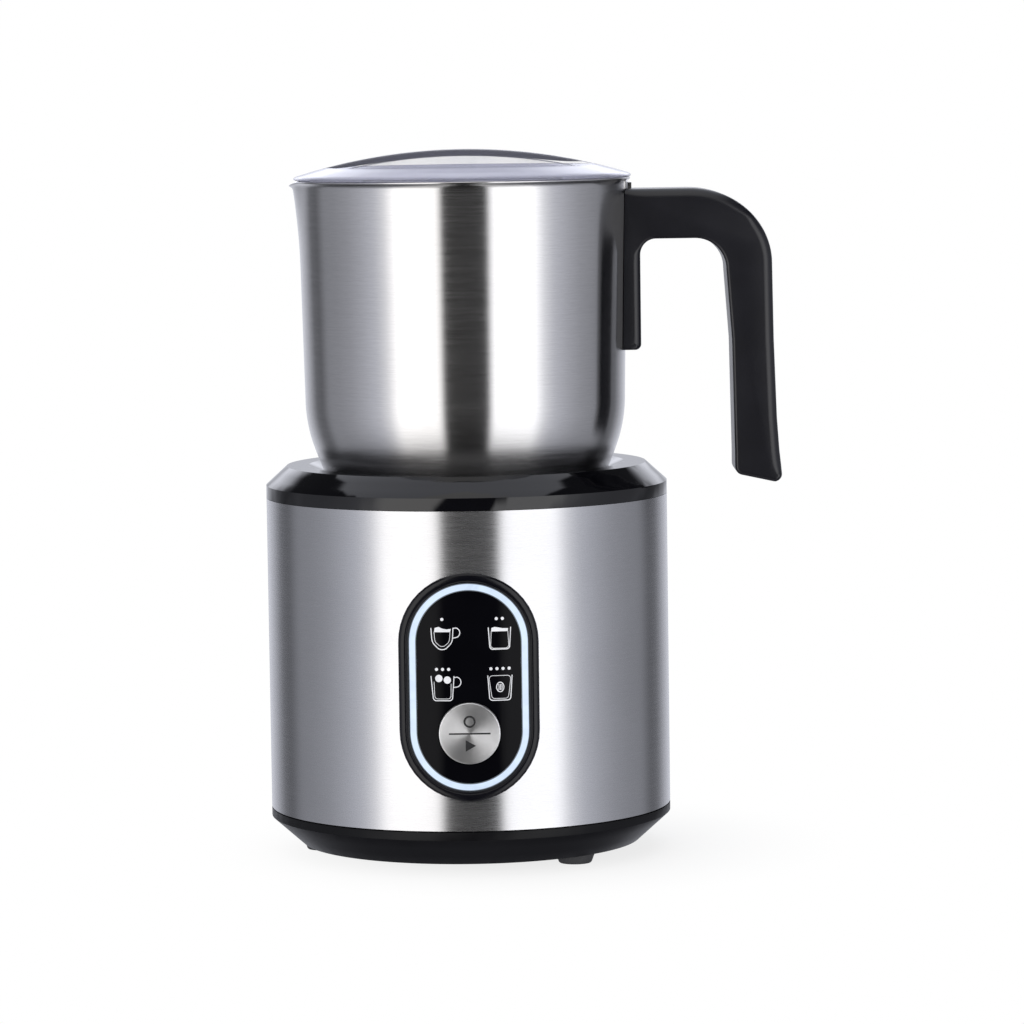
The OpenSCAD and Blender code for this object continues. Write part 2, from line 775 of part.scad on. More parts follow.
// The side view of the handle: foot on the jug's wall, arm, bend, and grip with a free end
function handle_outline() = concat(
    [[48, foot_low]],
    arc([foot_x - 1.8, foot_low + 1.8], 1.8, -90, 0, 4),
    arc([foot_x + 5, arm_top - arm_h - 5], 5, 180, 90, 5),
    arc([grip_in_top - 10, arm_top - arm_h - 10], 10, 90, 0, 8),
    [[grip_in_top + 1.6, grip_low + 46.3], [grip_in_low, grip_low + 10.2], [grip_in_low + 0.3, grip_low + 5]],
    [[grip_in_low + 1.7, grip_low + 2.8], [handle_reach - 2.8, grip_low + 0.2]],
    arc([handle_reach - 2.6, grip_low + 2.7], 2.6, -80, 0, 4),
    [[handle_reach - 0.2, grip_low + 5.5], [handle_reach - 0.7, grip_low + 10.4]],
    [[handle_reach - 1.4, grip_low + 21], [handle_reach - 2.2, grip_low + 46.3]],
    [for (p = arc([0, 0], 1, 0, 90, 12))
        [handle_reach - 2.5 - bend_reach * (1 - p[0]), arm_top - bend_r * (1 - p[1])]],
    [[48, arm_top]]);

module handle_shell() color("#19191b") {
    difference() {
        rotate([90, 0, 0]) linear_extrude(height = handle_w, center = true) polygon(handle_outline());
        wall_cone(fit_gap);
        translate([48, -6.1, foot_low + 7.9]) cube([6.6, 12.2, 60]);
        for (z = handle_screw_z) translate([50, 0, z]) rotate([0, 90, 0]) {
            cylinder(h = 8, r = screw_r + fit_gap);
            translate([0, 0, 5.4]) cylinder(h = 5, r = 2.7);
        }
    }
}

module handle_screws() color("#c8c8cc") {
    for (z = handle_screw_z) translate([0, 0, z]) rotate([0, 90, 0]) {
        rod(screw_r, 53, 55.5);
        rod(2.5, 55.45, 56.8);
    }
}

// ---------- whisk ----------

module whisk_hub() color("#2b2b2e") {
    z0 = jug_floor + jug_t + 1;
    difference() {
        rotate_extrude() polygon([[0, z0], [whisk_r - 1, z0], [whisk_r, z0 + 1], [whisk_r, z0 + 2.6],
            [12, z0 + 3.8], [4.2, z0 + 4.4], [3.2, z0 + 6], [3.2, z0 + 9.4], [4, z0 + 10.2],
            [4, z0 + 11], [3.2, z0 + 11.6], [0, z0 + 11.6]]);
        rod(pin_r + run_gap, z0 - 1, z0 + 9);
        around([0, 90, 180, 270], magnet_circle) rod(magnet_r + fit_gap, z0 - 1, z0 + 3);
    }
}

module whisk_magnets() color("#c4c6cc")
    around([0, 90, 180, 270], magnet_circle) rod(magnet_r, jug_floor + jug_t + 1.1, jug_floor + jug_t + 3.9);

// The spring coil that runs round the whisk's disc, as a plain ring
module whisk_coil() color("#d0d0d4")
    rotate_extrude() translate([whisk_r + 2.1, jug_floor + jug_t + 3.4]) circle(r = 2, $fn = 32);

// ---------- lid ----------

// The two half-moon finger wells on either side of the grip bar, grown by t
module finger_wells(t) {
    difference() {
        translate([0, 0, well_floor - t]) cylinder(h = 14, r1 = well_r - 6 + t, r2 = well_r + 4 + t);
        translate([-60, -grip_bar_w / 2 + t, well_floor - 5]) cube([120, grip_bar_w - 2 * t, 30]);
    }
}

// The part of the dome's sphere above a height
module dome(r_sphere, r_edge, z0) {
    intersection() {
        translate([0, 0, dome_z]) sphere(r = r_sphere, $fn = 180);
        rod(r_edge, z0, lid_top + 5);
    }
}

module lid_dome() color("#c9cede", 0.55) {
    difference() {
        union() {
            difference() {
                dome(dome_r, lid_r, lid_low);
                finger_wells(0);
            }
            ring(skirt_r, skirt_r - 1.8, skirt_low, lid_low + 0.5);
        }
        difference() {
            dome(dome_r - lid_t, skirt_r - 1.8, lid_low - 1);
            finger_wells(lid_t);
        }
        ring(skirt_r + 1, skirt_r - 0.8, skirt_low + 1.4, skirt_low + 4.2);
    }
    difference() {
        intersection() {
            finger_wells(lid_t);
            rod(skirt_r - 1.7, well_floor - lid_t, lid_low + eps);
        }
        finger_wells(0);
    }
}

module lid_seal() color("#8e9098") {
    rotate_extrude() polygon([[skirt_r - 0.7, skirt_low + 1.5], [skirt_r + 0.2, skirt_low + 1.5],
        [skirt_r + 1.7, skirt_low + 3.4], [skirt_r + 0.4, skirt_low + 4.1], [skirt_r - 0.7, skirt_low + 4.1]]);
}

// ---------- assembly ----------

// Moves a sub-part from the base's axis to the middle of the whole frother's footprint
module placed() {
    translate([frame_x, 0, 0]) children();
}

placed() feet();
placed() bottom_cover();
placed() cover_screws();
placed() base_sleeve();
placed() seat_ring();
placed() seat_screws();
placed() hob_plate();
placed() coil_former();
placed() induction_coil();
placed() ferrite_bars();
placed() inner_frame();
placed() motor_can();
placed() stator_magnets();
placed() motor_end_cap();
placed() motor_bushes();
placed() motor_screws();
placed() carbon_brushes();
placed() power_board();
placed() board_screws();
placed() heat_sink();
placed() power_transistors();
placed() filter_choke();
placed() capacitors();
placed() transformer();
placed() terminal_block();
placed() control_board();
placed() control_screws();
placed() tact_switch();
placed() indicator_leds();
placed() panel_bezel();
placed() light_ring();
placed() panel_face();
placed() panel_icons();
placed() cord_gland();
placed() fan_housing();
placed() inner_leads();
placed() fan_rotor();
placed() motor_shaft();
placed() armature();
placed() armature_windings();
placed() commutator();
placed() magnet_carrier();
placed() drive_magnets();
placed() button_cap();
placed() button_body();
placed() button_marks();
placed() sensor_cap();
placed() sensor_spring();
placed() jug_vessel();
placed() jug_base_disc();
placed() spindle_pin();
placed() handle_bracket();
placed() handle_shell();
placed() handle_screws();
placed() whisk_hub();
placed() whisk_coil();
placed() whisk_magnets();
placed() lid_dome();
placed() lid_seal();
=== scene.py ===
import json
import math

import bmesh
import bpy
from mathutils import Matrix, Vector


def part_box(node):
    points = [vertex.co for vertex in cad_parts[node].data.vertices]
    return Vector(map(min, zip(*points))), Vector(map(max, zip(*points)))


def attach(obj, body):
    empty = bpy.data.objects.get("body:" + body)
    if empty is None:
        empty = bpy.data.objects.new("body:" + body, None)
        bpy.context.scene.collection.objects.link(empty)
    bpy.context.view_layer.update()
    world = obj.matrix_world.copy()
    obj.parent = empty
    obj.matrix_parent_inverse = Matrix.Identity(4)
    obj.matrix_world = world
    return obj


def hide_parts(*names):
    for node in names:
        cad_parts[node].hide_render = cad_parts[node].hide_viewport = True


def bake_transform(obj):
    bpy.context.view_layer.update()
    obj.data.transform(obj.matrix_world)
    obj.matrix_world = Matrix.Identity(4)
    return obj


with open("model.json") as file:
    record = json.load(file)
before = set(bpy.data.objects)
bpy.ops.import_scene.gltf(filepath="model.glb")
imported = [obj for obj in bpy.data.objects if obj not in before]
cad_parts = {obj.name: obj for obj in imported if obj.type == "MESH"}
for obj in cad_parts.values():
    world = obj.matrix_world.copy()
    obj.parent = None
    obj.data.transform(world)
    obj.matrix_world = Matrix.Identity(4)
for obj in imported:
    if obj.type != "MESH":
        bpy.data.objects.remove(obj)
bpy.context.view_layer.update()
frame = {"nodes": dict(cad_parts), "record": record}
nodes = frame["nodes"]
MM = 0.001


# ---------- places read from the frame ----------

def limits(name):
    """The lowest and highest x, y and z of a CAD node, in millimetres from the base's axis."""
    low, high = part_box(name)
    shift = Vector((AXIS_X, 0, 0))
    return (low - shift) / MM, (high - shift) / MM


plate_low, plate_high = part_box("hob_plate")
AXIS_X = (plate_low.x + plate_high.x) / 2


def at(x, y, z):
    """A point given in millimetres from the base's axis, as a point of the frame in metres."""
    return Vector((AXIS_X + x * MM, y * MM, z * MM))


# Sizes that a node's box doesn't give, in millimetres
DOME_R = 180.0        # radius of the sphere that the lid's crown is part of
BAR_HALF = 6.0        # half the width of the lid's grip bar
LIGHT_W = 2.4         # width of the lit line on the panel
ARM_H = 16.1          # height of the handle's arm
GRIP_W = 17.4         # from the handle's outermost point in to the line inside its grip
SHOULDER_Z = 147.5    # level at which the jug's shoulder meets its wall
JUG_R_LOW = 51.8      # radius of the jug's wall at that level
JUG_R_HIGH = 53.2     # and just below its rolled rim


# ---------- shader helpers ----------

class Tree:
    """A short way to write the nodes of one shader."""

    def __init__(self, tree):
        self.tree = tree
        tree.nodes.clear()

    def add(self, kind, **values):
        """A new node with some of its settings."""
        node = self.tree.nodes.new(kind)
        for key, value in values.items():
            setattr(node, key, value)
        return node

    def put(self, socket, value):
        """Links an output to a socket, or sets the socket to a plain value."""
        if isinstance(value, bpy.types.NodeSocket):
            self.tree.links.new(value, socket)
        else:
            socket.default_value = value

    def math(self, operation, a, b=0.0, clamp=False):
        """The result of a sum on one or two values."""
        node = self.add("ShaderNodeMath", operation=operation, use_clamp=clamp)
        self.put(node.inputs[0], a)
        self.put(node.inputs[1], b)
        return node.outputs[0]

    def span(self, value, low, high, out_low=0.0, out_high=1.0, curve="SMOOTHSTEP"):
        """A value carried from one range to another, and held at the ends."""
        node = self.add("ShaderNodeMapRange", interpolation_type=curve)
        for socket, number in zip(node.inputs, (value, low, high, out_low, out_high)):
            self.put(socket, number)
        return node.outputs[0]

    def mix(self, factor, a, b, blend="MIX"):
        """A colour between two others."""
        node = self.add("ShaderNodeMix", data_type="RGBA", blend_type=blend)
        self.put(node.inputs[0], factor)
        self.put(node.inputs[6], a)
        self.put(node.inputs[7], b)
        return node.outputs[2]

    def here(self):
        """The shaded point, which stays on its piece as the piece moves."""
        return self.add("ShaderNodeTexCoord").outputs["Object"]

    def split(self, vector):
        """The x, y and z of a vector."""
        node = self.add("ShaderNodeSeparateXYZ")
        self.put(node.inputs[0], vector)
        return node.outputs

    def place(self, scale):
        """The shaded point, stretched by a number along each axis."""
        node = self.add("ShaderNodeMapping")
        self.put(node.inputs["Vector"], self.here())
        node.inputs["Scale"].default_value = scale
        return node.outputs[0]

    def noise(self, scale, detail=3.0, rough=0.55):
        """Soft noise, with its own scale along each axis."""
        node = self.add("ShaderNodeTexNoise")
        self.put(node.inputs["Vector"], self.place(scale))
        node.inputs["Scale"].default_value = 1.0
        node.inputs["Detail"].default_value = detail
        node.inputs["Roughness"].default_value = rough
        return node.outputs[0]

    def bump(self, height, depth, normal=None):
        """A normal bent by a height, with the depth in millimetres."""
        node = self.add("ShaderNodeBump")
        node.inputs["Strength"].default_value = 1.0
        node.inputs["Distance"].default_value = depth * MM
        self.put(node.inputs["Height"], height)
        if normal is not None:
            self.put(node.inputs["Normal"], normal)
        return node.outputs[0]


def rgb(red, green, blue):
    """An opaque colour."""
    return (red, green, blue, 1.0)


def shader(name):
    """A new material, its tree and its Principled node, joined to the output."""
    material = bpy.data.materials.new(name)
    material.use_nodes = True
    tree = Tree(material.node_tree)
    surface = tree.add("ShaderNodeBsdfPrincipled")
    output = tree.add("ShaderNodeOutputMaterial")
    tree.put(output.inputs["Surface"], surface.outputs[0])
    return material, tree, surface


def fine(tree, scale, detail=3.0):
    """Soft noise with the same scale along every axis."""
    return tree.noise((scale, scale, scale), detail)


# ---------- materials ----------

def brushed_steel(name, colour, roughness, anisotropy, streak=(70, 70, 3500), depth=0.0012):
    """Steel brushed round the Z axis: the streaks are long round it and fine along it."""
    material, tree, surface = shader(name)
    lines = tree.noise(streak, 4.0, 0.65)
    hairs = tree.noise(tuple(4 * s for s in streak), 2.0, 0.5)
    cloud = fine(tree, 25)
    shade = tree.math("ADD", tree.span(lines, 0.3, 0.7, 0.96, 1.03), tree.span(cloud, 0.3, 0.7, -0.02, 0.02))
    tint = tree.mix(tree.span(hairs, 0.3, 0.7), rgb(*(0.95 * c for c in colour)), rgb(*colour))
    node = tree.add("ShaderNodeVectorMath", operation="SCALE")
    tree.put(node.inputs[0], tint)
    tree.put(node.inputs["Scale"], shade)
    tree.put(surface.inputs["Base Color"], node.outputs[0])
    tree.put(surface.inputs["Roughness"], tree.span(lines, 0.25, 0.75, roughness - 0.025, roughness + 0.025))
    tree.put(surface.inputs["Normal"], tree.bump(lines, depth, tree.bump(hairs, depth / 3)))
    surface.inputs["Metallic"].default_value = 1.0
    surface.inputs["Anisotropic"].default_value = anisotropy
    surface.inputs["Anisotropic Rotation"].default_value = 0.25
    tangent = tree.add("ShaderNodeTangent", direction_type="RADIAL", axis="Z")
    tree.put(surface.inputs["Tangent"], tangent.outputs[0])
    return material


def moulded(name, colour, roughness, grain=3200, depth=0.004, spread=0.05, tone=0.12, shine=0.5):
    """Moulded plastic or rubber: a fine skin, and a broad slow change in tone and gloss."""
    material, tree, surface = shader(name)
    skin = fine(tree, grain, 2.0)
    cloud = fine(tree, 60)
    pale = rgb(*(c * (1 + tone) for c in colour))
    dark = rgb(*(c * (1 - tone) for c in colour))
    tree.put(surface.inputs["Base Color"], tree.mix(tree.span(cloud, 0.3, 0.7), dark, pale))
    gloss = tree.math("ADD", tree.span(cloud, 0.3, 0.7, roughness - spread / 2, roughness + spread / 2),
                      tree.span(skin, 0.3, 0.7, -spread / 4, spread / 4))
    tree.put(surface.inputs["Roughness"], gloss)
    tree.put(surface.inputs["Normal"], tree.bump(skin, depth))
    surface.inputs["Specular IOR Level"].default_value = shine
    return material


def metal(name, colour, roughness, grain=900, depth=0.004, tone=0.1, metallic=1.0):
    """Plain metal with faint mottling, such as plating, castings and wire."""
    material = moulded(name, colour, roughness, grain, depth, 0.08, tone)
    for node in material.node_tree.nodes:
        if node.type == "BSDF_PRINCIPLED":
            node.inputs["Metallic"].default_value = metallic
    return material


def spun_steel(name, colour, roughness, anisotropy):
    """A small steel cap, spun about the Y axis, so that its highlights fan out from its middle."""
    material, tree, surface = shader(name)
    hairs = fine(tree, 5200, 2.0)
    cloud = fine(tree, 140)
    worn = rgb(*(0.88 * c for c in colour))
    tree.put(surface.inputs["Base Color"], tree.mix(tree.span(cloud, 0.3, 0.7), worn, rgb(*colour)))
    tree.put(surface.inputs["Roughness"], tree.span(hairs, 0.3, 0.7, roughness - 0.04, roughness + 0.04))
    surface.inputs["Metallic"].default_value = 1.0
    surface.inputs["Anisotropic"].default_value = anisotropy
    tangent = tree.add("ShaderNodeTangent", direction_type="RADIAL", axis="Y")
    tree.put(surface.inputs["Tangent"], tangent.outputs[0])
    surface.inputs["Anisotropic Rotation"].default_value = 0.3
    return material


def glowing(name, colour, glow):
    """Milky plastic that glows, a little brighter and darker in soft patches: a lamp behind it in the light
    ring, a painted glow on the printed icons.
    """
    material, tree, surface = shader(name)
    patch = tree.span(fine(tree, 220), 0.3, 0.7)
    tree.put(surface.inputs["Emission Color"], tree.mix(patch, rgb(*(0.9 * c for c in glow)), rgb(*glow)))
    tree.put(surface.inputs["Base Color"], tree.mix(patch, rgb(*(0.8 * c for c in colour)), rgb(*colour)))
    tree.put(surface.inputs["Roughness"], tree.span(patch, 0, 1, 0.25, 0.35))
    return material, tree, surface


def lit(name, colour, glow, strength):
    """Print given a painted glow that is equally bright all over."""
    material, _, surface = glowing(name, colour, glow)
    surface.inputs["Emission Strength"].default_value = strength
    return material


def light_guide(name, colour, glow, strength):
    """The lit ring: brightest along its middle line, and dark at both edges from painted shade where the
    surround shades it.
    """
    material, tree, surface = glowing(name, colour, glow)
    low, high = limits("light_ring")
    width, tall = high.x - low.x, high.z - low.z
    middle = (low.z + high.z) / 2
    x, _, z = tree.split(tree.here())
    across = tree.math("SUBTRACT", x, at(0, 0, 0).x)
    up = tree.math("ABSOLUTE", tree.math("SUBTRACT", z, middle * MM))
    up = tree.math("MAXIMUM", tree.math("SUBTRACT", up, (tall - width) / 2 * MM), 0.0)
    squares = [tree.math("MULTIPLY", part, part) for part in (across, up)]
    far = tree.math("SQRT", tree.math("ADD", *squares))
    off = tree.math("ABSOLUTE", tree.math("SUBTRACT", far, (width - LIGHT_W) / 2 * MM))
    # painted shade: the glow falls to almost nothing towards both edges of the ring
    tree.put(surface.inputs["Emission Strength"], tree.span(off, 0.86 * MM, 1.02 * MM, strength, 0.03))
    return material


def clear_plastic(name, colour, bar_strip_colour, roughness):
    """Clear moulding: see-through face on, mirror-like at a slant, paler from a painted sheen where it faces
    up or down, with a dark strip along the grip bar.
    """
    material, tree, surface = shader(name)
    high = limits("lid_dome")[1]
    # A dark strip along the grip bar, in the top layer of the shell and thinning towards its ends
    strip_middle, strip_half, strip_deep = -3, 42, 1.9
    x, y, _ = tree.split(tree.here())
    reach = tree.add("ShaderNodeVectorMath", operation="DISTANCE")
    tree.put(reach.inputs[0], tree.here())
    tree.put(reach.inputs[1], at(0, 0, high.z - DOME_R))
    depth = tree.math("SUBTRACT", DOME_R * MM, reach.outputs["Value"])
    along = tree.math("DIVIDE", tree.math("SUBTRACT", x, at(strip_middle, 0, 0).x), strip_half * MM)
    taper = tree.math("SUBTRACT", 1.0, tree.math("POWER", tree.math("ABSOLUTE", along), 6.0), True)
    strip = tree.math("LESS_THAN", depth, tree.math("MULTIPLY", taper, strip_deep * MM))
    on_bar = tree.math("LESS_THAN", tree.math("ABSOLUTE", y), (BAR_HALF + 0.3) * MM)
    strip = tree.math("MULTIPLY", strip, on_bar)
    strip = tree.math("MULTIPLY", strip, tree.math("GREATER_THAN", taper, 0.02))
    haze = tree.span(fine(tree, 45), 0.3, 0.7)
    clear = tree.mix(haze, rgb(*(0.95 * c for c in colour)), rgb(*colour))
    tree.put(surface.inputs["Base Color"], tree.mix(strip, clear, rgb(*bar_strip_colour)))
    slant = tree.add("ShaderNodeFresnel")
    slant.inputs["IOR"].default_value = 1.45
    upward = tree.split(tree.add("ShaderNodeNewGeometry").outputs["Normal"])[2]
    # painted sheen: the shell is made more opaque, so its pale colour shows more, where it faces up or down
    # and catches the overhead light; the haze adds a little more at random
    haze_and_painted_sheen = tree.span(tree.math("ABSOLUTE", upward), 0.3, 0.8, 0.03, 0.27)
    haze_and_painted_sheen = tree.math("ADD", haze_and_painted_sheen, tree.span(haze, 0, 1, 0.0, 0.04))
    body = tree.math("ADD", tree.math("MULTIPLY", slant.outputs[0], 1.4), haze_and_painted_sheen, True)
    tree.put(surface.inputs["Alpha"], tree.math("MAXIMUM", body, tree.math("MULTIPLY", strip, 0.9)))
    tree.put(surface.inputs["Roughness"], tree.span(haze, 0, 1, roughness, roughness + 0.03))
    return material


finishes = {
    "brushed_sleeve": brushed_steel("sleeve steel", (0.62, 0.62, 0.635), 0.27, 0.93, (60, 60, 3500), 0.00012),
    "jug_steel": brushed_steel("jug steel", (0.63, 0.625, 0.63), 0.21, 0.93, (70, 70, 2800), 0.0001),
    "button_steel": spun_steel("button steel", (0.86, 0.86, 0.87), 0.34, 0.75),
    "gloss_black": moulded("gloss black", (0.002, 0.002, 0.003), 0.06, 1500, 0.0003, 0.03),
    "matt_black": moulded("matt black", (0.0045, 0.0045, 0.0075), 0.3, 2600, 0.0012, 0.02, shine=0.5),
    "foot_rubber": moulded("foot rubber", (0.03, 0.03, 0.033), 0.6, 1800, 0.02),
    "zinc_steel": metal("zinc plating", (0.62, 0.62, 0.64), 0.25),
    "spring_wire": metal("bright wire", (0.65, 0.65, 0.66), 0.18),
    "hob_plastic": moulded("hob plate", (0.03, 0.03, 0.034), 0.35, 1400, 0.01),
    "former_plastic": moulded("former nylon", (0.68, 0.63, 0.5), 0.45),
    "copper": metal("copper wire", (0.72, 0.36, 0.18), 0.3),
    "ferrite": moulded("ferrite", (0.05, 0.05, 0.055), 0.6, 900, 0.03),
    "frame_plastic": moulded("frame plastic", (0.26, 0.27, 0.29), 0.45),
    "motor_steel": metal("motor steel", (0.4, 0.4, 0.42), 0.35),
    "bronze": metal("bronze", (0.5, 0.36, 0.18), 0.4),
    "carbon": moulded("carbon", (0.03, 0.03, 0.03), 0.55),
    "circuit_board": moulded("circuit board", (0.03, 0.16, 0.07), 0.3),
    "aluminium": metal("aluminium", (0.55, 0.56, 0.58), 0.35),
    "part_black": moulded("component black", (0.02, 0.02, 0.022), 0.3),
    "capacitor_case": moulded("capacitor case", (0.55, 0.36, 0.05), 0.25),
    "core_brown": moulded("core tape", (0.12, 0.1, 0.07), 0.5),
    "block_blue": moulded("terminal block", (0.04, 0.12, 0.28), 0.35),
    "lamp_white": moulded("lamp", (0.82, 0.87, 0.95), 0.2),
    "light_white": light_guide("light guide", (0.12, 0.14, 0.16), (0.64, 0.77, 0.96), 0.95),
    # the printed icons glow with painted light, so that they read as bright white
    "icon_white": lit("icon print with painted glow", (0.5, 0.5, 0.52), (0.8, 0.82, 0.86), 0.5),
    "mark_black": moulded("mark print", (0.015, 0.015, 0.017), 0.4),
    "lead_red": moulded("lead", (0.3, 0.03, 0.02), 0.4),
    "magnet": metal("magnet plating", (0.55, 0.56, 0.6), 0.2),
    "nylon_white": moulded("carrier nylon", (0.72, 0.7, 0.64), 0.4),
    "whisk_plastic": moulded("whisk plastic", (0.03, 0.03, 0.034), 0.3),
    "lid_clear": clear_plastic("lid plastic", (0.77, 0.78, 0.91), (0.14, 0.143, 0.175), 0.08),
    "seal_grey": moulded("seal silicone", (0.3, 0.31, 0.34), 0.5),
}
slot_of = {part["node"]: part["material_slot"] for part in frame["record"]["subparts"]}
body_of = {name: body for body, names in frame["record"]["behaviour"]["bodies"].items() for name in names}
for name, node in nodes.items():
    node.data.materials.clear()
    node.data.materials.append(finishes[slot_of[name]])
panel_black = moulded("panel black", (0.002, 0.002, 0.003), 0.07, 1500, 0.0003, 0.03, shine=0.07)
surround_black = moulded("surround black", (0.002, 0.002, 0.004), 0.22, 2400, 0.002, 0.04, shine=0.3)
cover_black = moulded("cover black", (0.003, 0.003, 0.004), 0.34, 2600, 0.004, shine=0.16)
nodes["panel_face"].data.materials[0] = panel_black
nodes["bottom_cover"].data.materials[0] = cover_black


# ---------- mesh helpers (all in millimetres from the base's axis) ----------

def steps_between(first, last, count):
    """Evenly spaced numbers from the first to the last."""
    return [first + (last - first) * k / count for k in range(count + 1)]


def arc(x, y, radius, start, end, steps):
    """Points along an arc, from one angle to another in degrees."""
    angles = [math.radians(a) for a in steps_between(start, end, steps)]
    return [(x + radius * math.cos(a), y + radius * math.sin(a)) for a in angles]


def rounded(corners, steps=6):
    """A closed outline whose corners (x, y, radius) are rounded off."""
    points = []
    for k, (x, y, radius) in enumerate(corners):
        here = Vector((x, y))
        if radius <= 0:
            points.append((x, y))
            continue
        before = (Vector(corners[k - 1][:2]) - here).normalized()
        after = (Vector(corners[(k + 1) % len(corners)][:2]) - here).normalized()
        half = math.acos(max(-1, min(1, before.dot(after)))) / 2
        centre = here + (before + after).normalized() * radius / math.sin(half)
        first = here + before * radius / math.tan(half) - centre
        last = here + after * radius / math.tan(half) - centre
        for step in range(steps + 1):
            points.append(tuple(centre + first.slerp(last, step / steps)))
    return points


def dense(points, gap, closed=True):
    """The same outline with more points, so that none are further apart than the gap."""
    more = []
    ends = points[1:] + points[:1] if closed else points[1:]
    for a, b in zip(points, ends):
        count = max(1, math.ceil(math.dist(a, b) / gap))
        more += [tuple(p + (q - p) * k / count for p, q in zip(a, b)) for k in range(count)]
    return more if closed else more + [points[-1]]


def rows_to_faces(rows, count, around=True, loop=False):
    """Faces between rows of points: each row closed round if around, the last joined to the first if loop."""
    faces = []
    for row in range(rows if loop else rows - 1):
        low, high = row * count, ((row + 1) % rows) * count
        for k in range(count if around else count - 1):
            after = (k + 1) % count
            faces.append((low + k, low + after, high + after, high + k))
    return faces


def new_piece(name, points, faces, stands_for, sharp=40, finish=None, between=None):
    """A mesh piece in place of a CAD node, with its finish, on its body, or when between is given left fixed
    in the frame on neither body; the bodies and ends in between are not used.
    """
    mesh = bpy.data.meshes.new(name)
    mesh.from_pydata([at(*point) for point in points], [], faces)
    shape = bmesh.new()
    shape.from_mesh(mesh)
    bmesh.ops.remove_doubles(shape, verts=shape.verts, dist=0.002 * MM)
    bmesh.ops.recalc_face_normals(shape, faces=shape.faces)
    shape.to_mesh(mesh)
    shape.free()
    mesh.polygons.foreach_set("use_smooth", [True] * len(mesh.polygons))
    mesh.set_sharp_from_angle(angle=math.radians(sharp))
    mesh.materials.append(finish or finishes[slot_of[stands_for]])
    piece = bpy.data.objects.new(name, mesh)
    bpy.context.scene.collection.objects.link(piece)
    if between:
        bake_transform(piece)
    else:
        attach(piece, body_of[stands_for])
    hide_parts(stands_for)
    return piece


def turned(outline, segments, spin=lambda radius, turn, level: (radius, level)):
    """Points and faces of a closed outline of (radius, level) turned about Z."""
    points = []
    for k in range(segments):
        turn = 2 * math.pi * k / segments
        for radius, level in outline:
            far, high = spin(radius, turn, level)
            points.append((far * math.cos(turn), far * math.sin(turn), high))
    return points, rows_to_faces(segments, len(outline), loop=True)


def soften(name, width):
    """Rounds the hard edges of a CAD node with modifiers, leaving its mesh as it is."""
    weld = nodes[name].modifiers.new("weld", "WELD")
    weld.merge_threshold = 0.005 * MM
    bevel = nodes[name].modifiers.new("bevel", "BEVEL")
    bevel.width = width * MM
    bevel.segments = 3
    bevel.limit_method = "ANGLE"
    bevel.angle_limit = math.radians(28)
    bevel.harden_normals = True
    bevel.miter_outer = "MITER_ARC"


# ---------- handle ----------

def handle():
    """The handle's side view carried across its width, with soft edges, wide outside and narrow inside."""
    low, high = limits("handle_shell")
    end, top, reach, half = low.z, high.z, high.x, high.y
    foot = limits("handle_bracket")[0].z - 8
    under, inside = top - ARM_H, reach - GRIP_W
    bend_x, bend_z = 26.5, 24.4
    outside = [(reach - 2.5 - bend_x * (1 - c), top - bend_z * (1 - s)) for c, s in arc(0, 0, 1, 0, 90, 28)]
    grip = arc(reach - 2.6, end + 2.7, 2.6, -80, 0, 8)
    grip += [(reach - 0.2, end + 5.5), (reach - 0.7, end + 10.4), (reach - 1.4, end + 21),
             (reach - 2.2, end + 46.3)]
    side = [(46, foot)] + arc(55.2, foot + 1.8, 1.8, -90, 0, 6)
    side += arc(62, under - 5, 5, 180, 90, 12) + arc(inside - 10, under - 10, 10, 90, 0, 18)
    side += [(inside + 1.6, end + 46.3), (inside + 2.2, end + 10.2), (inside + 2.2, end + 6)]
    side += arc(inside + 5.0, end + 5.2, 2.8, 186, 258, 6) + [(reach - 2.8, end + 0.2)]
    side += grip + outside + [(46, top)]
    side = dense(side, 2.2)
    count = len(side)
    widths, inwards = [], []
    for k, (x, z) in enumerate(side):
        before, after = Vector(side[k - 1]), Vector(side[(k + 1) % count])
        along = (after - before).normalized()
        inwards.append(Vector((-along.y, along.x)))
        outer = z > under + 8 or x > reach - 9
        foot_edge = 56 < x < 60 and z < under - 4
        width = 3.1 if outer else 2.4 if foot_edge else 1.0
        if x < 54:
            width = 1.2 if z > top - 2 else 0.5
        if z < end + 3 and x > 70:
            width = 1.4
        widths.append(width)
    for _ in range(3):
        widths = [(widths[k - 1] + 2 * widths[k] + widths[(k + 1) % count]) / 4 for k in range(count)]
    quarter = [(1 - math.sin(a), 1 - math.cos(a)) for a in (math.radians(15 * k) for k in range(7))]
    rows = [(inset, -1, rise) for inset, rise in quarter]
    rows += [(0, share, 0) for share in (-0.6, -0.3, 0, 0.3, 0.6)]
    rows += [(inset, 1, rise) for inset, rise in reversed(quarter)]
    points = []
    for inset, share, rise in rows:
        for (x, z), inward, width in zip(side, inwards, widths):
            x += inward.x * inset * width
            z += inward.y * inset * width
            y = share * (half - rise * width)
            if x < 56:
                lean = (z - SHOULDER_Z) / (top - SHOULDER_Z)
                wall = JUG_R_LOW + (JUG_R_HIGH - JUG_R_LOW) * lean + 0.12
                x = max(x, math.sqrt(wall * wall - y * y))
            points.append((x, y, z))
    faces = rows_to_faces(len(rows), count)
    faces.append(tuple(range(count)))
    faces.append(tuple(reversed(range(len(points) - count, len(points)))))
    new_piece("handle", points, faces, "handle_shell", 30)


# ---------- jug, lid, whisk and sensor ----------

